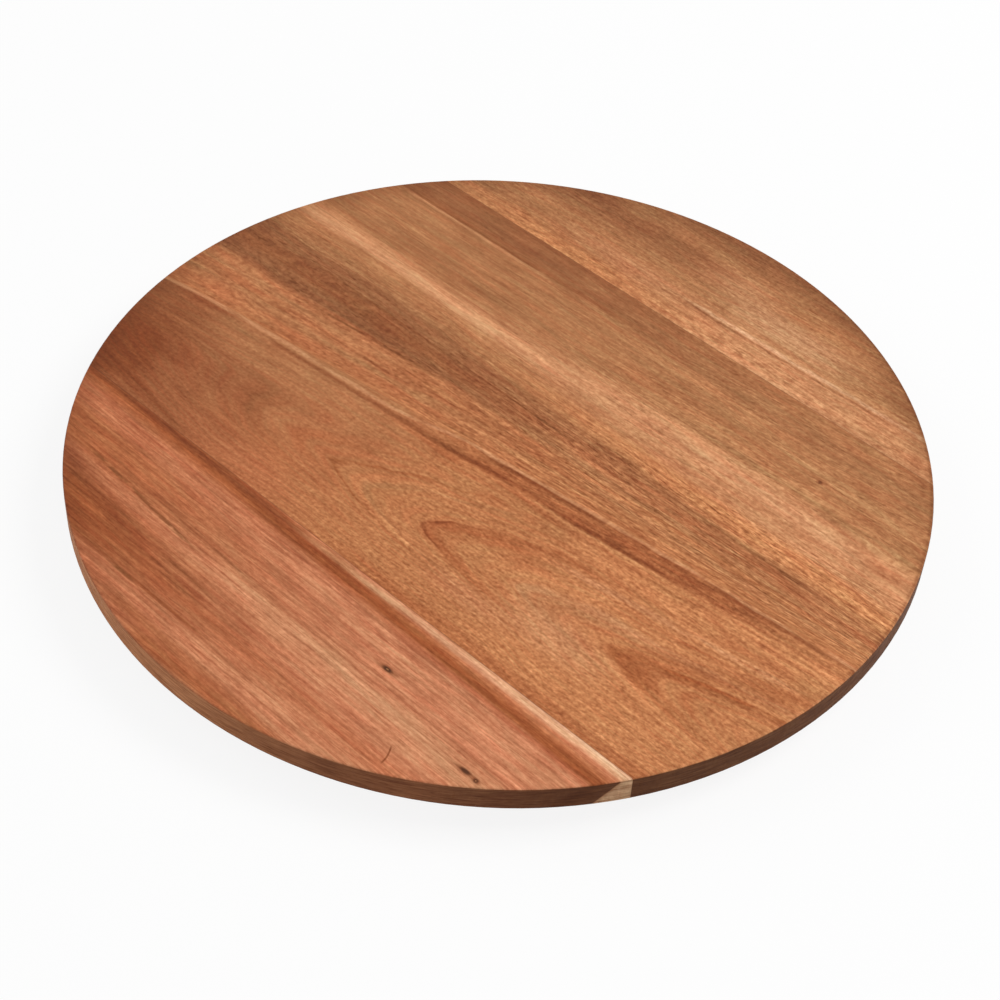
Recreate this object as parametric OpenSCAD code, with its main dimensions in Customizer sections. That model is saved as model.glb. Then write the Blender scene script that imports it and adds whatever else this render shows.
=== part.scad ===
// Lazy susan serving board: a round edge-glued hardwood board that turns on a low ring bearing.
// Millimetres. The origin is at the centre of the foot circle, on the table, with +Z up.
// The grain of the board runs along X, and its front plank is on the -Y side.

/* [Board] */
// Diameter of the serving board
board_d = 400; // [320:5:500]
// Thickness of the board
board_t = 13; // [11:0.5:20]
// Rounding of the board's top and bottom edges
edge_r = 0.8; // [0.3:0.1:2]
// Number of flats that make up each rounded edge
edge_steps = 4; // [2:1:6]
// Distance from the board's centre to the front glue joint
front_joint = 103.5; // [90:0.5:140]
// Distance from the board's centre to the rear glue joint
rear_joint = 123; // [90:0.5:140]

/* [Turntable rings] */
// Outside diameter of the base ring
base_ring_d = 200; // [170:5:240]
// Radial width of the base ring
base_ring_w = 12; // [11:0.5:16]
// Radial width of the top ring
top_ring_w = 11; // [10:0.5:16]
// Height of each ring
ring_h = 8.5; // [8:0.5:12]
// Height by which the top ring stands above the base ring, so that the board clears it
ring_step = 0.8; // [0.5:0.1:1.5]
// Radial gap between the two rings
ring_gap = 1.8; // [1.6:0.1:2.4]
// Chamfer on the edges of both rings
ring_chamfer = 0.5; // [0.2:0.1:0.8]

/* [Ball race] */
// Diameter of the balls
ball_d = 5; // [4:0.25:6]
// Number of balls
ball_count = 24; // [12:1:36]
// Clearance between a ball and the grooves it runs in
race_clearance = 0.05; // [0.02:0.01:0.1]
// Wall thickness of the ball cage
cage_t = 1; // [0.7:0.1:1.2]
// Width of the cage's rim above and below the ball pockets
cage_rim = 0.85; // [0.6:0.05:1]
// Clearance between a ball and its pocket in the cage
pocket_clearance = 0.15; // [0.1:0.05:0.3]
// Extra width of the hole that the balls are loaded through
loading_clearance = 0.4; // [0.2:0.1:0.8]
// Depth of the loading plug below the base ring's outer face
plug_recess = 0.6; // [0.3:0.1:1.5]
// Hex key size of the loading plug
plug_key = 2.5; // [2:0.5:3]
// Depth of the hex socket in the loading plug
plug_socket_depth = 2.5; // [1.5:0.5:4]

/* [Ring screws] */
// Number of wood screws that hold the top ring to the board
screw_count = 6; // [4:1:8]
// Diameter of a screw's shank
screw_d = 3.5; // [3:0.5:4]
// Diameter of a screw's countersunk head
screw_head_d = 7; // [6:0.5:8]
// Length of a screw, from the face of its head to its point
screw_len = 16; // [13:1:18]
// Length of a screw's tapered point
screw_point = 3; // [2:0.5:4]
// Width of the slots of a screw's cross recess
recess_w = 0.9; // [0.7:0.1:1.2]
// Span of a screw's cross recess
recess_span = 3.6; // [3:0.2:4.4]
// Depth of a screw's cross recess
recess_depth = 1.4; // [1:0.1:1.6]
// Distance from the top ring's inner edge to the screws
screw_inset = 5; // [4.5:0.25:5.5]

/* [Rubber feet] */
// Number of rubber feet
foot_count = 6; // [4:1:8]
// Diameter of a foot
foot_d = 11; // [9:0.5:12]
// Height of a foot below the base ring
foot_h = 5; // [3:0.5:8]
// Rounding of a foot's bottom edge
foot_r = 1.2; // [0.5:0.1:2]
// Diameter of the stem that goes through the base ring
foot_stem_d = 5; // [4:0.25:5.5]
// Diameter of the flared end that holds a foot in the base ring
foot_flare_d = 8; // [6.5:0.25:8.5]
// Depth of the flared end below the base ring's top face
foot_flare_recess = 0.3; // [0.2:0.1:0.6]
// Distance from the base ring's outer edge to the feet
foot_inset = 5.7; // [5.5:0.1:6.2]

/* [Fits] */
// Clearance around screws, plugs and stems in their holes
hole_fit = 0.05; // [0.02:0.01:0.1]

/* [Hidden] */
$fn = 96;
over = 1;                                   // how far a cutting shape runs past what it cuts

board_r = board_d / 2;
base_ring_r = base_ring_d / 2;
base_ring_bore = base_ring_r - base_ring_w;
top_ring_r = base_ring_bore - ring_gap;
top_ring_bore = top_ring_r - top_ring_w;

base_ring_z = foot_h;
top_ring_z = base_ring_z + ring_step;
board_z = top_ring_z + ring_h;

race_r = base_ring_bore - ring_gap / 2;     // pitch radius of the balls
race_z = base_ring_z + (ring_h + ring_step) / 2;
groove_r = ball_d / 2 + race_clearance;     // radius of the groove's section
pocket_d = ball_d + 2 * pocket_clearance;
cage_h = pocket_d + 2 * cage_rim;

loading_d = ball_d + loading_clearance;
loading_angle = 180 / foot_count;           // half way between two feet
plug_end_r = base_ring_r - plug_recess;

screw_r = top_ring_bore + screw_inset;
screw_head_h = (screw_head_d - screw_d) / 2;
foot_circle_r = base_ring_r - foot_inset;
foot_flare_h = (foot_flare_d - foot_stem_d) / 2;

wood_front = [0.72, 0.43, 0.30];
wood_centre = [0.68, 0.43, 0.27];
wood_rear = [0.72, 0.47, 0.31];

// Puts its children at place i of a ring of count places, at radius r
module at_place(i, count, r) {
    rotate([0, 0, (i - 1) * 360 / count]) translate([r, 0, 0]) children();
}

// Points of the board's eased edge, from low to high, in steps round a quarter circle at each corner
function eased_corner(y, from) = [for (i = [0:edge_steps])
    [board_r - edge_r + edge_r * cos(from + i * 90 / edge_steps),
     y + edge_r * sin(from + i * 90 / edge_steps)]];

// Flat blank of the whole board, turned to its diameter with eased edges
module board_blank() {
    translate([0, 0, board_z]) rotate_extrude() polygon(concat(
        [[0, board_t], [0, 0]],
        eased_corner(edge_r, -90),
        eased_corner(board_t - edge_r, 0)));
}

// Blind holes in the board's underside for the ring screws
module pilot_holes() {
    shank_top = screw_len - screw_point;
    for (i = [1:screw_count]) at_place(i, screw_count, screw_r) translate([0, 0, top_ring_z]) {
        cylinder(h = shank_top, d = screw_d + 2 * hole_fit);
        translate([0, 0, shank_top])
            cylinder(h = screw_point + hole_fit, d1 = screw_d + 2 * hole_fit, d2 = 2 * hole_fit);
    }
}

// One plank of the board, between two glue joints across the grain
module plank(y_low, y_high) {
    difference() {
        intersection() {
            board_blank();
            translate([-board_r - over, y_low, board_z - over])
                cube([board_d + 2 * over, y_high - y_low, board_t + 2 * over]);
        }
        pilot_holes();
    }
}

module front_plank() {
    color(wood_front) plank(-board_r - over, -front_joint);
}

module centre_plank() {
    color(wood_centre) plank(-front_joint, rear_joint);
}

module rear_plank() {
    color(wood_rear) plank(rear_joint, board_r + over);
}

// Section of a ring with chamfered edges
module ring_section(r_in, r_out, z, h) {
    c = ring_chamfer;
    translate([0, z]) polygon([
        [r_in + c, 0], [r_out - c, 0], [r_out, c], [r_out, h - c],
        [r_out - c, h], [r_in + c, h], [r_in, h - c], [r_in, c]]);
}

// Round section of the race that both rings share
module race_section() {
    translate([race_r, race_z]) circle(groove_r);
}

// Lower ring of the bearing, which stands on the feet
module base_ring() {
    color("silver") difference() {
        rotate_extrude() difference() {
            ring_section(base_ring_bore, base_ring_r, base_ring_z, ring_h);
            race_section();
        }
        for (i = [1:foot_count]) at_place(i, foot_count, foot_circle_r) translate([0, 0, base_ring_z]) {
            translate([0, 0, -over]) cylinder(h = ring_h + 2 * over, d = foot_stem_d + 2 * hole_fit);
            translate([0, 0, ring_h - foot_flare_recess - foot_flare_h])
                cylinder(h = foot_flare_h, d1 = foot_stem_d + 2 * hole_fit, d2 = foot_flare_d + 2 * hole_fit);
            translate([0, 0, ring_h - foot_flare_recess])
                cylinder(h = foot_flare_recess + over, d = foot_flare_d + 2 * hole_fit);
        }
        rotate([0, 0, loading_angle]) translate([race_r, 0, race_z]) rotate([0, 90, 0])
            cylinder(h = base_ring_w + ring_gap + over, d = loading_d);
    }
}

// Upper ring of the bearing, screwed to the underside of the board
module top_ring() {
    color("gainsboro") difference() {
        rotate_extrude() difference() {
            ring_section(top_ring_bore, top_ring_r, top_ring_z, ring_h);
            race_section();
        }
        for (i = [1:screw_count]) at_place(i, screw_count, screw_r) translate([0, 0, top_ring_z]) {
            translate([0, 0, -over]) cylinder(h = ring_h + 2 * over, d = screw_d + 2 * hole_fit);
            cylinder(h = screw_head_h, d1 = screw_head_d + 2 * hole_fit, d2 = screw_d + 2 * hole_fit);
            translate([0, 0, -over]) cylinder(h = over, d = screw_head_d + 2 * hole_fit);
        }
    }
}

// Thin band that keeps the balls spaced round the race
module ball_cage() {
    color("ivory") difference() {
        translate([0, 0, race_z - cage_h / 2]) difference() {
            cylinder(h = cage_h, r = race_r + cage_t / 2);
            translate([0, 0, -over]) cylinder(h = cage_h + 2 * over, r = race_r - cage_t / 2);
        }
        for (i = [1:ball_count]) at_place(i, ball_count, race_r)
            translate([-ball_d, 0, race_z]) rotate([0, 90, 0]) cylinder(h = 2 * ball_d, d = pocket_d);
    }
}

module bearing_balls() {
    color("lightsteelblue") for (i = [1:ball_count])
        at_place(i, ball_count, race_r) translate([0, 0, race_z]) sphere(d = ball_d);
}

// Grub screw that closes the loading hole; its inner end carries on the groove
module loading_plug() {
    color("slategray") difference() {
        rotate([0, 0, loading_angle]) translate([base_ring_bore + hole_fit, 0, race_z]) rotate([0, 90, 0])
            difference() {
                length = plug_end_r - base_ring_bore - hole_fit;
                cylinder(h = length, d = loading_d - 2 * hole_fit);
                translate([0, 0, length - plug_socket_depth])
                    cylinder(h = plug_socket_depth + over, d = plug_key / cos(30), $fn = 6);
            }
        rotate_extrude() race_section();
    }
}

// Countersunk wood screw, driven up through the top ring into the board
module ring_screw(i) {
    color("lightgray") at_place(i, screw_count, screw_r) translate([0, 0, top_ring_z]) difference() {
        union() {
            cylinder(h = screw_head_h, d1 = screw_head_d, d2 = screw_d);
            translate([0, 0, screw_head_h])
                cylinder(h = screw_len - screw_head_h - screw_point, d = screw_d);
            translate([0, 0, screw_len - screw_point]) cylinder(h = screw_point, d1 = screw_d, d2 = 0);
        }
        for (turn = [0, 90]) rotate([0, 0, turn])
            translate([-recess_span / 2, -recess_w / 2, -over])
                cube([recess_span, recess_w, recess_depth + over]);
    }
}

// Push-in rubber foot: a round head, a stem through the ring and a flared end
module rubber_foot(i) {
    flare_top = base_ring_z + ring_h - foot_flare_recess;
    color("dimgray") at_place(i, foot_count, foot_circle_r) {
        rotate_extrude() {
            translate([0, foot_r]) square([foot_d / 2, foot_h - foot_r]);
            square([foot_d / 2 - foot_r, foot_r]);
            translate([foot_d / 2 - foot_r, foot_r]) circle(foot_r);
        }
        translate([0, 0, foot_h]) cylinder(h = flare_top - foot_flare_h - foot_h, d = foot_stem_d);
        translate([0, 0, flare_top - foot_flare_h])
            cylinder(h = foot_flare_h, d1 = foot_stem_d, d2 = foot_flare_d);
    }
}

front_plank();
centre_plank();
rear_plank();
top_ring();
base_ring();
ball_cage();
bearing_balls();
loading_plug();
for (i = [1:screw_count]) ring_screw(i);
for (i = [1:foot_count]) rubber_foot(i);
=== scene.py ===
"""Round serving board on a ring bearing: materials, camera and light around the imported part."""

import math

import bpy
from mathutils import Matrix, Vector


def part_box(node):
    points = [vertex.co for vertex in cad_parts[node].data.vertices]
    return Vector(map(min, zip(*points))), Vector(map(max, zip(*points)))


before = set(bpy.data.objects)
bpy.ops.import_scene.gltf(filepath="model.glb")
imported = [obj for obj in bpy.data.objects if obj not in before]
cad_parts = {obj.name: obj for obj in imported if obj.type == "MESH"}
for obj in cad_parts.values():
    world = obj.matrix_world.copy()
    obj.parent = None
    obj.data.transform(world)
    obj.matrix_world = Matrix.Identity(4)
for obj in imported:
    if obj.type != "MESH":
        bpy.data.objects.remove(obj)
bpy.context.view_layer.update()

# Board sizes, in millimetres, as in the part's source
BOARD_R = 200.0
FRONT_JOINT = -103.5
REAR_JOINT = 123.0
TOP_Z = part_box("centre_plank")[1].z

# The photograph's view: degrees, metres and the lens for a 36 mm sensor
VIEW_AZIMUTH = 40.87
VIEW_ELEVATION = 43.61
VIEW_ROLL = 3.87
VIEW_PAN = 0.035
VIEW_TILT = 1.60
VIEW_DISTANCE = 0.9797
VIEW_LENS = 76.14

# Wood tones, without the sheen on top of them
TONES = {
    "cream": (234, 182, 140),
    "pale_tan": (205, 145, 102),
    "warm_tan": (198, 136, 93),
    "peach": (201, 133, 92),
    "gold": (195, 127, 81),
    "khaki": (180, 125, 82),
    "honey": (186, 120, 76),
    "brown": (174, 115, 74),
    "chestnut": (177, 108, 68),
    "olive": (163, 108, 69),
    "dark_olive": (147, 92, 57),
    "umber": (144, 86, 51),
    "deep_umber": (133, 77, 43),
    "red_brown": (170, 99, 59),
    "sienna": (153, 90, 55),
    "russet": (155, 84, 45),
    "dark_russet": (130, 68, 36),
    "salmon": (196, 125, 86),
    "rose": (186, 112, 73),
    "knot": (62, 34, 22),
    "glue": (104, 62, 40),
    "rim": (127, 78, 49),
    "end_grain": (84, 46, 23),
    "rim_right": (89, 54, 32),
    "rim_left": (181, 121, 81),
    "rim_sap": (171, 132, 97),
}

# How much red, green and blue move where wood turns lighter, and where it turns redder
LIGHTER = (2.0, 2.7, 3.1)
REDDER = (0.5, -1.5, -1.6)

# Specular level of the oiled wood
SHEEN = 0.10

# What makes the front plank pinker than the others
FRONT_TINT = (1.0, 0.99, 1.05, 1.0)

# What dark places such as pores, the painted shade along the edge, and pale flecks multiply the wood's colour
# by
PORE_AND_PAINTED_SHADE = (0.60, 0.52, 0.46, 1.0)
FLECK_SHADE = (1.16, 1.20, 1.26, 1.0)

# Rim, by how far along the grain its direction from the centre points (-1 to 1)
RIM_AROUND = (
    (-1.0, "end_grain"), (-0.8, "rim"), (-0.45, "rim_left"), (0.0, "rim_left"), (0.40, "rim"), (0.55, "rim"),
    (0.78, "end_grain"), (0.90, "rim_right"), (1.0, "rim_right"))

# Painted shade on the top along its edge: the direction in which the shaded strip is darkest, then width in
# millimetres and strength of the strip at the back and on the left, and of the shaded line on the right
SHADE_STRIP_TOWARDS = (-0.87, 0.50)
SHADE_STRIP_WIDTH = 16.0
SHADE_STRIP_STRENGTH = 0.55
SHADE_LINE_WIDTH = 2.4
SHADE_LINE_STRENGTH = 0.75

# Floor: half its side in metres, its grey, its share of plain white near the part, and between which
# distances from the part, in millimetres, it turns all white
FLOOR_REACH = 30.0
FLOOR_GREY = (0.86, 0.86, 0.86, 1.0)
FLOOR_WHITE = 0.88
FLOOR_FADE = (600.0, 2500.0)

# Strength of the white world as a light, and where it is seen
WORLD_LIGHT = 0.39
WORLD_SEEN = 1.0

# Lamps: name, place and side in metres, and power in watts
LAMPS = (
    ("key", (1.1, 1.3, 2.0), 1.4, 48.4),
    ("fill", (-1.6, -0.9, 1.4), 1.6, 13.0))


def linear(rgb):
    """sRGB tone, 0 to 255, as the linear colour that shaders take."""
    def channel(c):
        c /= 255
        return c / 12.92 if c <= 0.04045 else ((c + 0.055) / 1.055) ** 2.4
    return tuple(channel(c) for c in rgb) + (1.0,)


def tone(name):
    return linear(TONES[name])


class Nodes:
    """A node tree being built. Sockets and plain numbers are passed round alike."""

    def __init__(self, tree):
        self.tree = tree

    def node(self, kind, **settings):
        made = self.tree.nodes.new(kind)
        for key, value in settings.items():
            setattr(made, key, value)
        return made

    def put(self, socket, value):
        if isinstance(value, bpy.types.NodeSocket):
            self.tree.links.new(value, socket)
        else:
            socket.default_value = value

    def math(self, operation, *values):
        made = self.node("ShaderNodeMath", operation=operation)
        for socket, value in zip(made.inputs, values):
            self.put(socket, value)
        return made.outputs[0]

    def add(self, a, b):
        return self.math("ADD", a, b)

    def sub(self, a, b):
        return self.math("SUBTRACT", a, b)

    def mul(self, a, b):
        plain = isinstance(a, float) and isinstance(b, float)
        return a * b if plain else self.math("MULTIPLY", a, b)

    def fuse(self, a, b, c):
        """a times b plus c."""
        return self.math("MULTIPLY_ADD", a, b, c)

    def length(self, a, b):
        """Square root of a squared plus b squared."""
        return self.math("SQRT", self.add(self.mul(a, a), self.mul(b, b)))

    def seen(self):
        """1 on rays that show a white background: from the camera, off gloss or through glass."""
        path = self.node("ShaderNodeLightPath")
        either = path.outputs["Is Camera Ray"]
        for ray in ("Is Glossy Ray", "Is Transmission Ray"):
            either = self.math("MAXIMUM", either, path.outputs[ray])
        return either

    def ease(self, x, start, end, low=0.0, high=1.0):
        """Smooth step of x between start and end."""
        made = self.node("ShaderNodeMapRange", interpolation_type="SMOOTHSTEP")
        for key, value in zip(("Value", "From Min", "From Max", "To Min", "To Max"),
                              (x, start, end, low, high)):
            self.put(made.inputs[key], value)
        return made.outputs[0]

    def span(self, x, start, end, fade):
        """1 where x lies between start and end, fading over the given length."""
        rise = self.ease(x, start - fade, start + fade)
        return self.mul(rise, self.ease(x, end - fade, end + fade, 1.0, 0.0))

    def line(self, x, half, soft):
        """1 where x is near 0, fading from half less soft to half plus soft."""
        return self.ease(self.math("ABSOLUTE", x), half - soft, half + soft, 1.0, 0.0)

    def mix(self, amount, a, b, blend="MIX"):
        made = self.node("ShaderNodeMix", data_type="RGBA", blend_type=blend)
        for socket, value in zip((made.inputs[0], made.inputs[6], made.inputs[7]), (amount, a, b)):
            self.put(socket, value)
        return made.outputs[2]

    def pick(self, amount, a, b):
        """Plain number between a and b."""
        made = self.node("ShaderNodeMix", data_type="FLOAT")
        for socket, value in zip((made.inputs[0], made.inputs[2], made.inputs[3]), (amount, a, b)):
            self.put(socket, value)
        return made.outputs[0]

    def vector(self, x, y, z):
        made = self.node("ShaderNodeCombineXYZ")
        for socket, value in zip(made.inputs, (x, y, z)):
            self.put(socket, value)
        return made.outputs[0]

    def noise(self, vector, detail=2.0, roughness=0.5):
        made = self.node("ShaderNodeTexNoise")
        for key, value in (("Vector", vector), ("Scale", 1.0), ("Detail", detail), ("Roughness", roughness)):
            self.put(made.inputs[key], value)
        return made.outputs[0]

    def place(self):
        """Object coordinates in millimetres: along the grain, across it, and down from the top."""
        split = self.node("ShaderNodeSeparateXYZ")
        self.put(split.inputs[0], self.node("ShaderNodeTexCoord").outputs["Object"])
        x, y, z = split.outputs
        return self.mul(x, 1000.0), self.mul(y, 1000.0), self.fuse(z, 1000.0, -1000.0 * TOP_Z)

    def ramp(self, x, stops):
        """Colour ramp over x, from stops of (value, tone name)."""
        low, high = stops[0][0], stops[-1][0]
        made = self.node("ShaderNodeValToRGB")
        elements = made.color_ramp.elements
        while len(elements) < len(stops):
            elements.new(1.0)
        for element, (value, name) in zip(elements, stops):
            element.position = (value - low) / (high - low)
            element.color = tone(name)
        unit = self.node("ShaderNodeMapRange")
        for key, value in zip(("Value", "From Min", "From Max"), (x, low, high)):
            self.put(unit.inputs[key], value)
        self.put(made.inputs[0], unit.outputs[0])
        return made.outputs[0]


class Shader(Nodes):
    """A material being built round Blender's standard surface."""

    def __init__(self, name):
        self.material = bpy.data.materials.new(name)
        self.material.use_nodes = True
        super().__init__(self.material.node_tree)
        self.bsdf = self.tree.nodes["Principled BSDF"]

    def cloud(self, scale, detail=3.0):
        """Even noise, with scale as its number of steps in a millimetre."""
        return self.noise(self.vector(*(self.mul(axis, scale) for axis in self.place())), detail)

    def surface(self, values):
        for key, value in values.items():
            self.put(self.bsdf.inputs[key], value)

    def relief(self, strength, distance, height):
        """Fine relief of the surface, with its distance in metres."""
        bump = self.node("ShaderNodeBump")
        for key, value in zip(("Strength", "Distance", "Height"), (strength, distance, height)):
            self.put(bump.inputs[key], value)
        self.surface({"Normal": bump.outputs[0]})


class Wood(Shader):
    """Solid wood: everything is a function of the place inside the plank, so all faces agree."""

    def __init__(self, name, seed, ring_lean):
        super().__init__(name)
        self.seed = seed
        self.u, self.v, self.w = self.place()
        self.leaned = self.fuse(self.w, -ring_lean, self.v)

    def grain(self, across, length, width, detail=2.0, shift=0.0, roughness=0.55):
        """Noise drawn out along the grain, about 0 to 1; length and width are in millimetres."""
        x = self.fuse(self.u, 1.0 / length, self.seed + shift)
        y = self.fuse(across, 1.0 / width, self.seed * 1.7 + shift)
        z = self.mul(self.w, 1.0 / (2.5 * width))
        return self.noise(self.vector(x, y, z), detail, roughness)

    def sway(self, across, amount, length, width, shift=0.0):
        """across, pushed to and fro so that bands wander as growth rings do."""
        drift = self.sub(self.grain(across, length, width, 2.0, shift), 0.5)
        return self.fuse(drift, 2.0 * amount, across)

    def broken(self, length, width, shift):
        """Mask that comes and goes along the grain."""
        return self.ease(self.grain(self.v, length, width, 2.0, shift), 0.34, 0.52)

    def shade(self, colour, noise, depth, shares=LIGHTER):
        """colour changed by a noise about 0.5, each channel by its own share of the depth."""
        swing = self.mul(self.sub(noise, 0.5), depth)
        factor = self.node("ShaderNodeCombineColor")
        for socket, share in zip(factor.inputs, shares):
            self.put(socket, self.fuse(swing, share, 1.0))
        return self.mix(1.0, colour, factor.outputs[0], "MULTIPLY")

    def streaks(self, colour, across, rows):
        """Single streaks along the grain, from rows as listed for each plank."""
        for name, strength, middle, half, slope, start, end, dash in rows:
            offset = self.fuse(self.u, -slope, self.sub(across, middle))
            fade = min(12.0, (end - start) / 4)
            amount = self.mul(self.line(offset, half, 0.7 * half), self.span(self.u, start, end, fade))
            if dash:
                amount = self.mul(amount, self.broken(dash, 4.0, middle))
            colour = self.mix(self.mul(amount, strength), colour, tone(name))
        return colour

    def hazes(self, colour, rows):
        """Soft patches of another tone, from rows as listed for each plank."""
        for name, strength, along, across in rows:
            amount = self.mul(*(self.line(self.sub(place, middle), 0.55 * half, 0.45 * half)
                                for place, (middle, half) in ((self.u, along), (self.v, across))))
            colour = self.mix(self.mul(amount, strength), colour, tone(name))
        return colour

    def oval(self, x, y, half_u, half_v):
        """0 in the middle of an oval about (x, y), and 1 on its outline."""
        du, dv = self.sub(self.u, x), self.sub(self.v, y)
        across = self.mul(self.mul(dv, dv), (1.0 / half_v) ** 2)
        return self.math("SQRT", self.fuse(self.mul(du, du), (1.0 / half_u) ** 2, across))

    def knots(self, colour, rows):
        """Small dark knots, drawn out along the grain into reddish tails, with a paler eye or none."""
        for x, y, length, depth, eye in rows:
            for name, half_u, half_v, start, end, strength in (
                    ("dark_russet", 2.3 * length, 2.0, 0.2, 1.0, 0.8),
                    ("knot", length, 1.4, 0.3, 1.1, depth),
                    ("brown", 0.3 * length, 0.5, 0.2, 1.0, eye)):
                amount = self.ease(self.oval(x, y, half_u, half_v), start, end, strength, 0.0)
                colour = self.mix(amount, colour, tone(name))
        return colour

    def texture(self, colour, across, fibres, lines, speckle, scales):
        """Mottle, long lines, fibres and pores; the last three say how strongly each kind shows."""
        wavy = self.sway(fibres, 0.5, 12.0, 3.0, 13.0)
        fibre = self.grain(wavy, 14.0, 1.0, 2.0, 11.3, 0.65)
        for noise, depth, shares in (
                (self.grain(across, 200.0, 6.0, 3.0, 3.1, 0.6), 0.30, LIGHTER),
                (self.grain(across, 24.0, 8.0, 3.0, 5.3, 0.6), 0.26, LIGHTER),
                (self.grain(across, 26.0, 3.0, 3.0, 41.0, 0.6), 0.26, REDDER),
                (self.grain(wavy, 70.0, 1.7, 3.0, 7.7, 0.6), self.mul(lines, 0.55), LIGHTER),
                (fibre, self.mul(lines, 0.40), LIGHTER),
                (self.grain(fibres, 6.0, 2.4, 2.0, 19.1, 0.6), self.mul(speckle, 0.28), LIGHTER),
                (self.grain(fibres, 3.0, 1.2, 2.0, 17.9, 0.6), self.mul(speckle, 0.45), LIGHTER),
                (self.grain(fibres, 2.2, 1.6, 2.0, 43.0, 0.6), self.mul(scales, 0.42), LIGHTER)):
            colour = self.shade(colour, noise, depth, shares)
        patch = self.ease(self.grain(across, 40.0, 6.0, 1.0, 29.0), 0.35, 0.62)
        pore = self.ease(self.grain(wavy, 7.0, 0.9, 1.0, 23.0), 0.58, 0.68)
        pore = self.mul(self.mul(pore, patch), speckle)
        fleck = self.mul(self.ease(self.grain(wavy, 6.0, 1.0, 1.0, 37.0), 0.58, 0.70), speckle)
        colour = self.mix(self.mul(pore, 0.60), colour, PORE_AND_PAINTED_SHADE, "MULTIPLY")
        colour = self.mix(self.mul(fleck, 0.40), colour, FLECK_SHADE, "MULTIPLY")
        return colour, fibre, pore

    def rim(self, colour, sap):
        """Rim of the board: dark end grain at both ends of the planks, pale where sap is 1.

        Painted shade darkens the faces in a strip along the edge at the back and on the left, and in a line
        along the rounded edge at the right end of the rear half.
        """
        radius = self.length(self.u, self.v)
        along, across = SHADE_STRIP_TOWARDS
        facing = self.math("DIVIDE", self.fuse(self.u, along, self.mul(self.v, across)), radius)
        around = self.math("DIVIDE", self.u, radius)
        # Painted shade: a strip along the edge at the back and on the left, and a line on the rounded edge at
        # the right
        shade_strip = self.mul(self.ease(radius, BOARD_R - SHADE_STRIP_WIDTH, BOARD_R - 0.5),
                         self.ease(facing, -0.7, -0.1))
        line = self.mul(self.ease(radius, BOARD_R - SHADE_LINE_WIDTH, BOARD_R - 0.8), self.ease(around, 0.0, 0.5))
        line = self.mul(line, self.ease(self.v, -10.0, 50.0))
        for amount, strength in ((shade_strip, SHADE_STRIP_STRENGTH), (line, SHADE_LINE_STRENGTH)):
            colour = self.mix(self.mul(amount, strength), colour, PORE_AND_PAINTED_SHADE, "MULTIPLY")
        face = self.mul(self.ease(self.w, -0.25, -0.75), self.ease(radius, BOARD_R - 1.3, BOARD_R - 0.9))
        heart = self.mul(face, self.fuse(sap, -1.0, 1.0))
        colour = self.mix(self.mul(heart, 0.95), colour, self.ramp(around, RIM_AROUND))
        colour = self.mix(self.mul(self.mul(face, sap), 0.8), colour, tone("rim_sap"))
        layers = self.vector(self.mul(self.u, 1 / 14), self.mul(self.v, 1 / 14), self.mul(self.w, 1.1))
        colour = self.shade(colour, self.noise(layers, 3.0, 0.6), self.mul(face, 0.9))
        dashes = self.vector(self.mul(self.u, 1 / 4), self.mul(self.v, 1 / 4), self.mul(self.w, 1.9))
        dash = self.mul(self.ease(self.noise(dashes, 1.0), 0.58, 0.70), face)
        return self.mix(self.mul(dash, 0.5), colour, PORE_AND_PAINTED_SHADE, "MULTIPLY"), face

    def finish(self, colour, grains, vigour, joints, sap=0.0):
        """Texture, joints, rim and sheen that all three planks share; sap keeps the rim pale."""
        colour, fibre, pore = self.texture(colour, *grains, *vigour)
        for joint in joints:
            seam = self.line(self.sub(self.v, joint), 0.16, 0.12)
            colour = self.mix(self.mul(seam, 0.6), colour, tone("glue"))
        colour, face = self.rim(colour, sap)
        roughness = self.fuse(pore, 0.15, self.fuse(fibre, 0.24, 0.36))
        self.surface({"Base Color": colour, "Specular IOR Level": SHEEN,
                      "Roughness": self.fuse(face, 0.20, roughness)})
        self.relief(0.35, 0.00006, self.fuse(pore, -0.6, fibre))
        return self.material


# Bands across each plank at its left and right ends: place across the board in mm, and tone
FRONT_LEFT = (
    (-200, "red_brown"), (-187, "rose"), (-182, "rose"), (-179, "russet"), (-172, "russet"), (-166, "russet"),
    (-160, "russet"), (-156, "red_brown"), (-152, "rose"), (-148, "rose"), (-144, "red_brown"),
    (-141, "red_brown"), (-137, "red_brown"), (-131, "red_brown"), (-125, "rose"), (-121, "rose"),
    (-116, "rose"), (-113, "red_brown"), (-111, "russet"), (-108, "dark_russet"), (-105, "russet"),
    (-103, "rose"), (-90, "rose"))
FRONT_RIGHT = (
    (-200, "salmon"), (-180, "peach"), (-168, "rose"), (-160, "salmon"), (-154, "peach"), (-147, "pale_tan"),
    (-141, "peach"), (-135, "salmon"), (-129, "salmon"), (-123, "peach"), (-117, "salmon"), (-114, "rose"),
    (-112, "russet"), (-109, "russet"), (-107, "red_brown"), (-104.6, "rose"), (-102.4, "peach"),
    (-101.0, "warm_tan"), (-99.8, "cream"), (-90, "cream"))
UPPER_LEFT = (
    (-12, "honey"), (-8, "chestnut"), (-5, "chestnut"), (-2, "brown"), (3, "chestnut"), (6, "brown"),
    (9, "chestnut"), (12, "dark_olive"), (15, "dark_olive"), (18, "umber"), (21, "umber"),
    (25, "dark_olive"), (30, "dark_olive"), (36, "olive"), (42, "brown"), (48, "brown"), (53, "pale_tan"),
    (58, "warm_tan"), (64, "brown"), (74, "olive"), (82, "brown"), (90, "olive"), (98, "brown"),
    (103.3, "olive"), (104.4, "umber"), (113, "dark_olive"), (123, "umber"))
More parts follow.
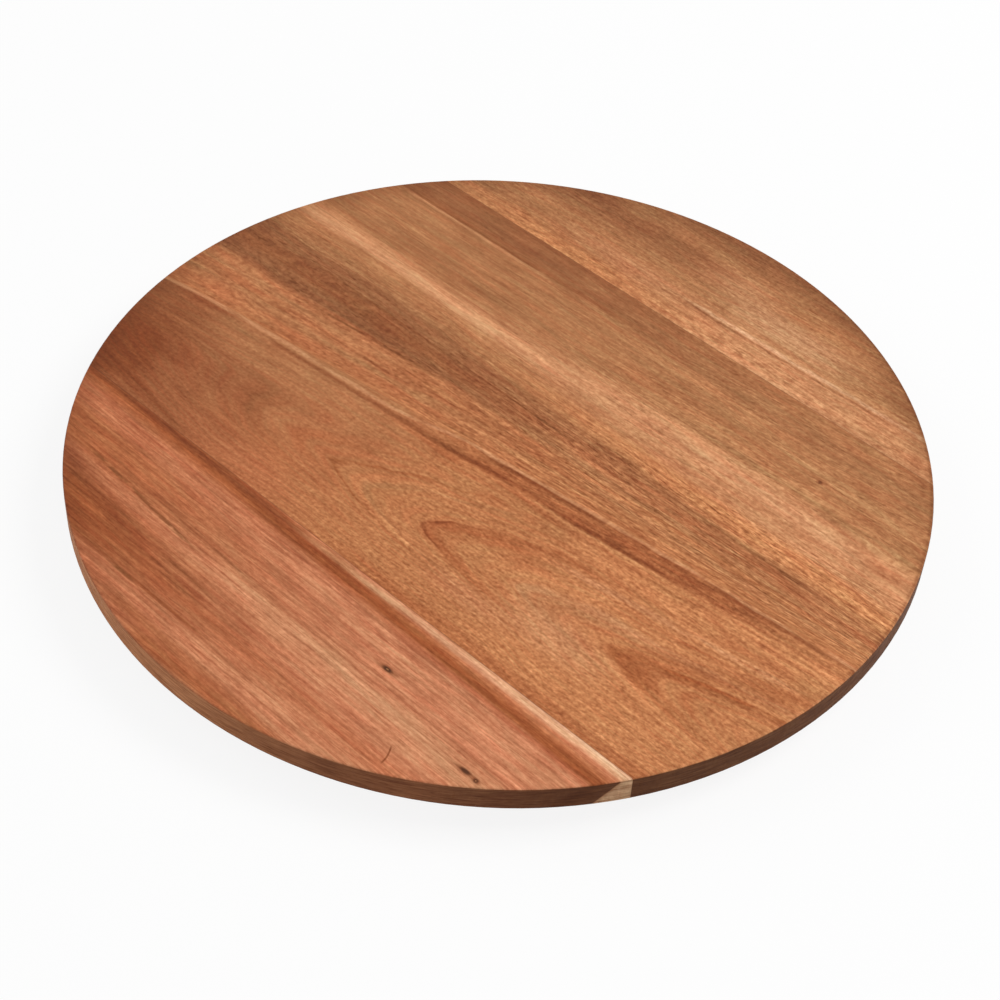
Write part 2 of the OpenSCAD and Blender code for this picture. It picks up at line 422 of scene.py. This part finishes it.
UPPER_RIGHT = (
    (-12, "honey"), (-2, "honey"), (6, "brown"), (10, "honey"), (15, "brown"), (23, "chestnut"),
    (30, "brown"), (36, "gold"), (41, "gold"), (46, "warm_tan"), (54, "warm_tan"), (60, "pale_tan"),
    (66, "warm_tan"), (72, "khaki"), (78, "brown"), (84, "brown"), (90, "khaki"), (98, "brown"),
    (105, "olive"), (112, "olive"), (117, "brown"), (123, "brown"))
REAR_LEFT = (
    (123, "gold"), (126, "honey"), (131, "honey"), (136, "brown"), (142, "olive"), (148, "brown"),
    (156, "olive"), (164, "dark_olive"), (172, "dark_olive"), (182, "olive"), (200, "dark_olive"))
REAR_RIGHT = (
    (123, "pale_tan"), (127, "warm_tan"), (133, "warm_tan"), (142, "warm_tan"), (148, "khaki"),
    (156, "khaki"), (166, "brown"), (174, "brown"), (182, "olive"), (200, "dark_olive"))

# Wood below the slanted line, along the plank
LOWER_ALONG = (
    (-200, "dark_russet"), (-165, "dark_russet"), (-138, "sienna"), (-108, "sienna"), (-60, "chestnut"),
    (-10, "honey"), (55, "honey"), (95, "gold"), (150, "gold"), (200, "honey"))

# Arches: how far back along the plank they reach at a distance from their axis (factor and power,
# above and below it); then for each its tip, softness of the outer edge, fade inside, reach to the
# side, tone and strength
ARCH_AXIS = -64.5
ARCH_AXIS_RISE = 0.07
ARCH_UPPER = (0.58, 1.35)
ARCH_LOWER = (0.39, 1.85)
ARCHES = (
    (-104, 7.0, 16.0, 22.0, "umber", 0.50),
    (-90, 3.0, 20.0, 40.0, "brown", 0.50),
    (-68, 2.0, 8.0, 38.0, "russet", 0.25),
    (-46, 1.0, 5.0, 52.0, "russet", 0.65),
    (-36, 2.0, 12.0, 46.0, "gold", 0.35),
    (-28, 1.5, 7.0, 60.0, "olive", 0.50),
    (-10, 2.0, 8.0, 42.0, "red_brown", 0.30),
    (3, 3.0, 7.0, 46.0, "gold", 0.55),
    (11.5, 1.6, 30.0, 52.0, "red_brown", 0.95),
    (11.5, 0.8, 4.0, 18.0, "dark_russet", 0.85),
    (42, 2.0, 8.0, 48.0, "gold", 0.60),
    (66, 5.0, 36.0, 34.0, "warm_tan", 0.80),
    (94, 2.0, 8.0, 44.0, "red_brown", 0.40),
    (104, 3.0, 8.0, 44.0, "gold", 0.45),
    (116, 3.5, 44.0, 40.0, "russet", 0.90),
    (140, 2.0, 8.0, 36.0, "gold", 0.45),
    (152, 3.0, 14.0, 30.0, "russet", 0.40))

# Slanted grain line that parts the arched wood from the straight-grained wood above it, the place
# across where the bands that fan out from it end, and the depth of the reddish wedge below it
SLANT_AT_CENTRE = -11.1
SLANT_SLOPE = 0.106
SLANT_BEND = -0.00008
FAN_TOP = 25.0
WEDGE = 9.0

# Single streaks: tone, strength, place across at the middle of the board, half width, slope,
# the stretch along the board, and the length of its dashes (0 for an unbroken streak)
FRONT_STREAKS = (
    ("cream", 0.45, -106.0, 1.60, 0.0, 15, 205, 0),
    ("pale_tan", 0.45, -106.0, 1.60, 0.0, -20, 45, 0),
    ("dark_russet", 0.55, -171.0, 4.50, -0.167, -145, -70, 0),
    ("dark_russet", 0.50, -142.2, 0.50, -0.044, -82, -20, 22),
    ("deep_umber", 0.85, -151.0, 0.90, -0.095, -128, -45, 9),
    ("dark_russet", 0.70, -160.2, 0.70, -0.030, -52, -22, 0),
    ("deep_umber", 0.90, -177.5, 0.90, 0.0, -62, -49, 0),
    ("russet", 0.60, -177.0, 0.60, 0.0, -48, -8, 0),
    ("dark_russet", 0.45, -164.0, 2.40, 0.020, -110, -20, 30),
    ("russet", 0.50, -190.5, 2.60, -0.030, -50, 62, 0),
    ("russet", 0.70, -196.0, 3.20, 0.0, -30, 60, 0))
UPPER_STREAKS = (
    ("red_brown", 0.45, 5.4, 2.40, 0.040, -70, 45, 0),
    ("deep_umber", 0.80, 24.2, 0.60, -0.010, -150, 50, 40),
    ("deep_umber", 0.85, 15.6, 0.80, 0.100, -140, -62, 14),
    ("dark_russet", 0.60, -1.8, 0.70, 0.045, -132, -66, 9),
    ("deep_umber", 0.60, 104.2, 0.70, 0.0, -165, -50, 16),
    ("warm_tan", 0.50, 102.2, 0.70, 0.0, -165, -70, 20),
    ("olive", 0.70, 21.0, 1.00, 0.015, 30, 150, 9),
    ("olive", 0.70, 15.0, 0.90, 0.030, 20, 150, 8),
    ("dark_olive", 0.60, 71.0, 0.80, 0.040, 50, 90, 12),
    ("dark_olive", 0.70, 103.0, 0.70, 0.0, 55, 64, 0))
LOWER_STREAKS = (
    ("dark_russet", 0.60, -122.2, 1.30, -0.187, -170, -108, 0),
    ("russet", 0.50, -112.0, 5.00, 0.450, 112, 195, 0),
    ("red_brown", 0.50, -43.5, 2.00, 0.155, 62, 185, 30),
    ("pale_tan", 0.45, -49.7, 1.80, 0.155, 75, 185, 30))
REAR_STREAKS = (
    ("cream", 0.55, 141.8, 1.20, 0.020, 0, 145, 20),
    ("dark_olive", 0.65, 139.4, 0.70, 0.018, 5, 125, 12),
    ("dark_olive", 0.60, 140.4, 0.60, -0.080, -28, 15, 0))

# Soft patches: tone, strength, and the middle and half width of each along and across
UPPER_HAZES = (
    ("red_brown", 0.50, (176.0, 26.0), (61.0, 8.0)),)
LOWER_HAZES = (
    ("pale_tan", 0.50, (98.0, 42.0), (-71.0, 16.0)),
    ("peach", 0.45, (55.0, 34.0), (-81.0, 9.0)),
    ("rose", 0.50, (-75.0, 55.0), (-95.0, 14.0)),
    ("red_brown", 0.60, (50.0, 26.0), (-44.5, 11.0)),
    ("russet", 0.35, (-10.0, 22.0), (-25.0, 7.0)))
REAR_HAZES = (
    ("cream", 0.22, (48.0, 60.0), (157.0, 15.0)),
    ("peach", 0.45, (-45.0, 55.0), (141.0, 11.0)),
    ("pale_tan", 0.35, (8.0, 36.0), (169.0, 14.0)))

# Small knots: place along and across, half length, how dark they are, and how clear their eye is
FRONT_KNOTS = (
    (62.0, -134.0, 3.8, 0.9, 0.6),
    (121.5, -148.7, 3.6, 0.8, 0.0),
    (127.8, -149.2, 1.6, 0.7, 0.9))
CENTRE_KNOTS = (
    (120.0, 86.3, 1.2, 0.45, 0.0),)

# Drying check near the front edge: a place on it, along and across, and the stretch across it covers
CHECK_AT = (92.8, -162.5)
CHECK_SPAN = (-169.8, -161.4)


def front_wood():
    wood = Wood("front_wood", 4.0, 0.8)
    rings = wood.fuse(wood.u, 0.030, wood.add(wood.leaned, 0.37))
    swayed = wood.sway(wood.sway(rings, 3.0, 150.0, 16.0), 0.8, 28.0, 3.0, 5.0)
    across = wood.pick(wood.ease(rings, -117.0, -108.0), swayed, rings)
    change = wood.ease(wood.u, -130.0, 100.0)
    colour = wood.mix(change, wood.ramp(across, FRONT_LEFT), wood.ramp(across, FRONT_RIGHT))
    colour = wood.mix(1.0, colour, FRONT_TINT, "MULTIPLY")
    colour = wood.streaks(colour, wood.v, FRONT_STREAKS)
    colour = check_mark(wood, wood.knots(colour, FRONT_KNOTS))
    sap = wood.mul(wood.ease(rings, -102.2, -100.8), wood.ease(wood.u, 0.0, 60.0))
    fibres = wood.sway(wood.v, 0.8, 45.0, 4.0, 9.0)
    return wood.finish(colour, (across, fibres), (1.0, 0.6, 0.45), (FRONT_JOINT,), sap)


def check_mark(wood, colour):
    """Thin curved drying check across the grain near the front edge."""
    along, across = CHECK_AT
    on = wood.sub(wood.v, across)
    bow = wood.mul(on, -0.33)
    bend = wood.mul(wood.math("SINE", wood.mul(on, 0.45)), -0.5)
    offset = wood.sub(wood.u, wood.add(along, wood.add(bow, bend)))
    amount = wood.mul(wood.line(offset, 0.40, 0.3), wood.span(wood.v, *CHECK_SPAN, 1.2))
    return wood.mix(wood.mul(amount, 0.9), colour, tone("dark_russet"))


def arch_tips(wood):
    """Where along the plank the arch through each place has its tip, and the distance from the axis."""
    rising = wood.math("MAXIMUM", wood.sub(wood.u, 12.0), 0.0)
    d = wood.sub(wood.v, wood.fuse(rising, ARCH_AXIS_RISE, ARCH_AXIS))
    reach = wood.math("SQRT", wood.add(wood.mul(d, d), wood.fuse(wood.mul(wood.w, wood.w), 0.6, 1.0)))
    side = wood.ease(d, -3.0, 3.0)
    upper, lower = (wood.mul(wood.math("POWER", reach, power), factor)
                    for factor, power in (ARCH_UPPER, ARCH_LOWER))
    narrow = wood.ease(wood.u, -100.0, -20.0, 0.55, 1.0)
    upper = wood.mul(upper, wood.add(narrow, wood.ease(wood.u, 60.0, 150.0, 0.0, 2.3)))
    lower = wood.mul(lower, wood.add(narrow, wood.ease(wood.u, 70.0, 110.0, 0.0, -0.25)))
    tips = wood.sub(wood.u, wood.pick(side, lower, upper))
    for length, width, shift, amount in ((60.0, 14.0, 2.0, 22.0), (18.0, 5.0, 6.0, 7.0)):
        drift = wood.sub(wood.grain(wood.v, length, width, 2.0, shift), 0.5)
        tips = wood.fuse(drift, amount, tips)
    return tips, wood.mul(reach, wood.pick(side, 2.0, 1.0))


def arched_grain(wood, above):
    """Colour below the slanted line, and the place across its growth rings."""
    tips, reach = arch_tips(wood)
    drift = wood.sub(wood.grain(wood.v, 70.0, 14.0, 3.0, 4.0), 0.5)
    colour = wood.ramp(wood.fuse(drift, 90.0, wood.u), LOWER_ALONG)
    sweep = wood.ease(above, -38.0, -14.0)
    streaks = wood.grain(above, 80.0, 3.2, 3.0, 51.0, 0.6)
    colour = wood.shade(colour, streaks, wood.mul(sweep, wood.ease(wood.u, -20.0, 60.0, 0.15, 0.70)))
    worn = wood.ease(wood.grain(wood.v, 24.0, 7.0, 2.0, 53.0), 0.36, 0.56, 0.50, 1.0)
    for tip, soft, fade, side, name, strength in ARCHES:
        amount = wood.mul(wood.ease(tips, tip - soft, tip + soft),
                          wood.ease(tips, tip + soft, tip + soft + fade, 1.0, 0.0))
        amount = wood.mul(wood.mul(amount, worn), wood.ease(reach, 0.3 * side, side, strength, 0.0))
        colour = wood.mix(amount, colour, tone(name))
    colour = wood.hazes(colour, LOWER_HAZES)
    joint_side = wood.mul(wood.line(wood.sub(wood.v, -101.0), 3.4, 2.0), wood.ease(wood.u, -30.0, 20.0))
    colour = wood.mix(wood.mul(joint_side, 0.7), colour, tone("red_brown"))
    colour = wood.streaks(colour, wood.v, LOWER_STREAKS)
    return colour, wood.pick(sweep, wood.mul(tips, 0.35), above)


def straight_grain(wood, slant, above):
    """Colour above the slanted line, where the bands fan out from it, and the place across them."""
    share = wood.math("DIVIDE", above, wood.sub(FAN_TOP, slant))
    fanned = wood.fuse(share, FAN_TOP - SLANT_AT_CENTRE, SLANT_AT_CENTRE)
    layers = wood.pick(wood.math("GREATER_THAN", wood.leaned, FAN_TOP), fanned, wood.leaned)
    across = wood.sway(wood.sway(layers, 4.0, 170.0, 22.0), 1.4, 34.0, 4.0, 5.0)
    change = wood.ease(wood.u, -110.0, 110.0)
    colour = wood.mix(change, wood.ramp(across, UPPER_LEFT), wood.ramp(across, UPPER_RIGHT))
    return wood.streaks(wood.hazes(colour, UPPER_HAZES), wood.v, UPPER_STREAKS), across


def slanted_band(wood, colour, edge):
    """Pale and dark lines along the slanted line, and the reddish wedge between them on the right."""
    left = wood.ease(wood.u, 0.0, -60.0)
    near = wood.mul(wood.ease(edge, -42.0, -10.0), wood.ease(edge, -0.3, 0.3, 1.0, 0.0))
    near = wood.mul(near, wood.mul(left, wood.ease(wood.u, -175.0, -120.0, 0.3, 0.8)))
    colour = wood.mix(near, colour, tone("brown"))
    within = wood.mul(wood.ease(edge, -WEDGE - 1.5, -WEDGE + 0.5), wood.ease(edge, -0.3, 0.3, 1.0, 0.0))
    within = wood.mul(within, wood.span(wood.u, -10.0, 160.0, 30.0))
    colour = wood.mix(wood.mul(within, 0.8), colour, tone("red_brown"))
    scale = wood.ease(wood.grain(edge, 14.0, 1.5, 2.0, 47.0), 0.44, 0.58)
    colour = wood.mix(wood.mul(wood.mul(within, scale), 0.50), colour, tone("dark_russet"))
    upper = wood.mul(wood.line(wood.add(edge, 1.2), 1.1, 0.8), wood.broken(40.0, 9.0, 31.0))
    strength = wood.mul(wood.ease(wood.u, -30.0, 20.0), wood.ease(wood.u, 150.0, 100.0, 0.7, 0.9))
    colour = wood.mix(wood.mul(upper, strength), colour, tone("dark_russet"))
    depth = wood.add(wood.ease(wood.u, -170.0, 0.0, WEDGE - 5.5, WEDGE - 0.6),
                     wood.ease(wood.u, 20.0, 70.0, 0.0, 1.2))
    broad = wood.line(wood.add(edge, wood.add(depth, 1.5)), 3.0, 1.8)
    broad = wood.mul(broad, wood.span(wood.u, -50.0, 45.0, 18.0))
    colour = wood.mix(wood.mul(broad, 0.6), colour, tone("red_brown"))
    lower = wood.mul(wood.line(wood.add(edge, depth), 1.3, 1.0), wood.broken(40.0, 9.0, 33.0))
    strength = wood.mul(wood.span(wood.u, -180.0, 116.0, 18.0), wood.ease(left, 0.0, 1.0, 0.9, 0.65))
    colour = wood.mix(wood.mul(lower, strength), colour, tone("dark_russet"))
    rise = wood.pick(left, -0.5, wood.sub(depth, 3.2))
    pale = wood.mul(wood.line(wood.add(edge, rise), 0.9, 0.7), wood.broken(40.0, 9.0, 35.0))
    return wood.mix(wood.mul(pale, 0.65), colour, tone("pale_tan"))


def centre_wood():
    wood = Wood("centre_wood", 9.0, 0.35)
    slant = wood.fuse(wood.u, SLANT_SLOPE, wood.fuse(wood.mul(wood.u, wood.u), SLANT_BEND, SLANT_AT_CENTRE))
    above = wood.sub(wood.leaned, slant)
    lower, lower_across = arched_grain(wood, above)
    upper, upper_across = straight_grain(wood, slant, above)
    edge = wood.sway(above, 1.4, 36.0, 6.0, 8.0)
    side = wood.ease(edge, -1.6, 1.6)
    colour = slanted_band(wood, wood.mix(side, lower, upper), edge)
    colour = wood.knots(colour, CENTRE_KNOTS)
    calm = wood.mul(wood.ease(wood.v, 25.0, 60.0), wood.ease(wood.u, 60.0, -90.0))
    across = wood.pick(side, lower_across, upper_across)
    beyond = wood.math("MAXIMUM", wood.sub(wood.u, 20.0), 0.0)
    rise = wood.mul(beyond, wood.ease(wood.v, 45.0, 95.0, 0.0, 0.075))
    fibres = wood.pick(side, wood.fuse(wood.u, -0.04, wood.v), wood.sub(upper_across, rise))
    right = wood.ease(wood.u, -100.0, 40.0)
    fan = wood.mul(wood.span(above, 4.0, 44.0, 6.0), right)
    dash = wood.mul(wood.ease(wood.grain(fibres, 9.0, 1.3, 1.0, 61.0), 0.60, 0.68), fan)
    colour = wood.mix(wood.mul(dash, 0.50), colour, PORE_AND_PAINTED_SHADE, "MULTIPLY")
    lines = wood.fuse(fan, 0.75, wood.fuse(side, 0.33, 0.32))
    upper_speckle = wood.fuse(fan, 0.40, wood.fuse(calm, -0.65, 1.1))
    speckle = wood.pick(side, wood.fuse(right, 0.5, 0.35), upper_speckle)
    scales = wood.fuse(wood.sub(1.0, side), wood.fuse(right, 0.5, 0.55), 0.35)
    return wood.finish(colour, (across, fibres), (lines, speckle, scales), (FRONT_JOINT, REAR_JOINT))


def rear_wood():
    wood = Wood("rear_wood", 15.0, -0.5)
    across = wood.sway(wood.sway(wood.leaned, 6.0, 90.0, 18.0), 1.6, 26.0, 4.0, 5.0)
    across = wood.pick(wood.ease(wood.v, 126.0, 134.0), wood.leaned, across)
    change = wood.ease(wood.u, -70.0, 70.0)
    colour = wood.mix(change, wood.ramp(across, REAR_LEFT), wood.ramp(across, REAR_RIGHT))
    colour = wood.streaks(colour, wood.v, REAR_STREAKS)
    curl = wood.mul(wood.ease(wood.v, 140.0, 130.0), 0.6)
    colour = wood.shade(colour, wood.grain(wood.v, 7.0, 3.4, 2.0, 55.0, 0.6), curl)
    colour = wood.hazes(colour, REAR_HAZES)
    ends = wood.add(wood.mul(wood.ease(wood.u, 60.0, 110.0), wood.ease(wood.v, 142.0, 154.0, 0.3, 0.8)),
                    wood.ease(wood.u, -90.0, -135.0, 0.0, 0.5))
    colour = wood.mix(ends, colour, tone("olive"))
    fibres = wood.sway(wood.v, 1.2, 40.0, 5.0, 9.0)
    return wood.finish(colour, (across, fibres), (0.55, 0.9, 0.8), (REAR_JOINT,))


def flat_metal(name, colour, roughness, vary):
    """Plain metal with uneven sheen."""
    metal = Shader(name)
    metal.surface({"Base Color": linear(colour), "Metallic": 1.0,
                   "Roughness": metal.fuse(metal.cloud(0.6), vary, roughness - vary / 2)})
    return metal.material


def turned_aluminium():
    """Lathe-turned aluminium: fine rings round the axis in sheen and bump."""
    metal = Shader("ring_aluminium")
    u, v, w = metal.place()
    lines = metal.noise(metal.vector(metal.mul(metal.length(u, v), 5.0), metal.mul(w, 5.0), 0.0), 2.0)
    cloud = metal.noise(metal.vector(metal.mul(u, 0.05), metal.mul(v, 0.05), w), 3.0)
    tint = metal.mix(cloud, linear((196, 198, 202)), linear((222, 223, 226)))
    metal.surface({"Base Color": tint, "Metallic": 1.0, "Roughness": metal.fuse(lines, 0.18, 0.26)})
    metal.relief(0.25, 0.00003, lines)
    return metal.material


def moulded(name, dark, light, roughness, grit):
    """Moulded rubber or plastic: fine grit and a slight change of tone."""
    plastic = Shader(name)
    grain = plastic.cloud(5.0, 2.0)
    plastic.surface({"Base Color": plastic.mix(plastic.cloud(0.3), linear(dark), linear(light)),
                     "Roughness": plastic.fuse(grain, 0.2, roughness - 0.1)})
    plastic.relief(grit, 0.00005, grain)
    return plastic.material


def dress(material, *nodes):
    for name in nodes:
        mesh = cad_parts[name].data
        mesh.materials.clear()
        mesh.materials.append(material)


def dress_part():
    numbered = range(1, 7)
    dress(front_wood(), "front_plank")
    dress(centre_wood(), "centre_plank")
    dress(rear_wood(), "rear_plank")
    dress(turned_aluminium(), "top_ring", "base_ring")
    dress(flat_metal("ball_steel", (214, 216, 220), 0.10, 0.06), "bearing_balls")
    dress(flat_metal("plug_steel", (62, 62, 66), 0.42, 0.2), "loading_plug")
    dress(flat_metal("screw_steel", (196, 194, 186), 0.30, 0.2), *(f"ring_screw_{i}" for i in numbered))
    dress(moulded("cage_nylon", (226, 220, 204), (236, 231, 218), 0.45, 0.2), "ball_cage")
    dress(moulded("foot_rubber", (30, 30, 31), (42, 42, 43), 0.75, 0.5),
          *(f"rubber_foot_{i}" for i in numbered))


def add_camera():
    camera = bpy.data.objects.new("camera", bpy.data.cameras.new("camera"))
    bpy.context.scene.collection.objects.link(camera)
    camera.data.sensor_width = 36.0
    camera.data.lens = VIEW_LENS
    camera.data.clip_start = 0.01

    def turn(degrees, axis):
        return Matrix.Rotation(math.radians(degrees), 4, axis)

    aim = turn(VIEW_AZIMUTH, "Z") @ turn(90.0 - VIEW_ELEVATION, "X")
    away = aim @ Vector((0.0, 0.0, VIEW_DISTANCE))
    camera.matrix_world = (Matrix.Translation(Vector((0.0, 0.0, TOP_Z)) + away) @ aim
                           @ turn(VIEW_ROLL, "Z") @ turn(VIEW_PAN, "Y") @ turn(-VIEW_TILT, "X"))
    bpy.context.scene.camera = camera


def add_floor():
    """White floor: keeps the part's shadow, softened towards white for the camera.

    It turns plain white away from the part, and is clear from below, so that the turntable shows.
    """
    mesh = bpy.data.meshes.new("floor")
    corners = [(x * FLOOR_REACH, y * FLOOR_REACH, 0.0) for x, y in ((-1, -1), (1, -1), (1, 1), (-1, 1))]
    mesh.from_pydata(corners, [], [(0, 1, 2, 3)])
    floor = bpy.data.objects.new("floor", mesh)
    bpy.context.scene.collection.objects.link(floor)
    paint = Shader("floor_paint")
    paint.surface({"Base Color": FLOOR_GREY, "Roughness": 0.9})
    glow = paint.node("ShaderNodeEmission")
    paint.put(glow.inputs["Strength"], 1.0)
    clear = paint.node("ShaderNodeBsdfTransparent")

    def blend(amount, first, second):
        made = paint.node("ShaderNodeMixShader")
        for socket, value in zip(made.inputs, (amount, first, second)):
            paint.put(socket, value)
        return made.outputs[0]

    x, y, _ = paint.place()
    white = paint.mul(paint.seen(), paint.ease(paint.length(x, y), *FLOOR_FADE, FLOOR_WHITE, 1.0))
    above = blend(white, paint.bsdf.outputs[0], glow.outputs[0])
    behind = paint.node("ShaderNodeNewGeometry").outputs["Backfacing"]
    paint.put(paint.tree.nodes["Material Output"].inputs["Surface"], blend(behind, above, clear.outputs[0]))
    mesh.materials.append(paint.material)


def add_light(name, place, size, power):
    """Soft square lamp aimed at the board."""
    lamp = bpy.data.lights.new(name, "AREA")
    lamp.size = size
    lamp.energy = power
    obj = bpy.data.objects.new(name, lamp)
    bpy.context.scene.collection.objects.link(obj)
    obj.location = place
    obj.rotation_euler = (Vector((0.0, 0.0, TOP_Z)) - Vector(place)).to_track_quat("-Z", "Y").to_euler()


def add_world():
    """White world: dim as a light, full white where it is seen."""
    world = bpy.data.worlds.new("studio")
    world.use_nodes = True
    nodes = Nodes(world.node_tree)
    sky = world.node_tree.nodes["Background"]
    nodes.put(sky.inputs["Color"], (1.0, 1.0, 1.0, 1.0))
    nodes.put(sky.inputs["Strength"], nodes.pick(nodes.seen(), WORLD_LIGHT, WORLD_SEEN))
    bpy.context.scene.world = world


dress_part()
add_camera()
add_floor()
add_world()
for lamp_values in LAMPS:
    add_light(*lamp_values)

bpy.context.scene.view_settings.view_transform = "Standard"
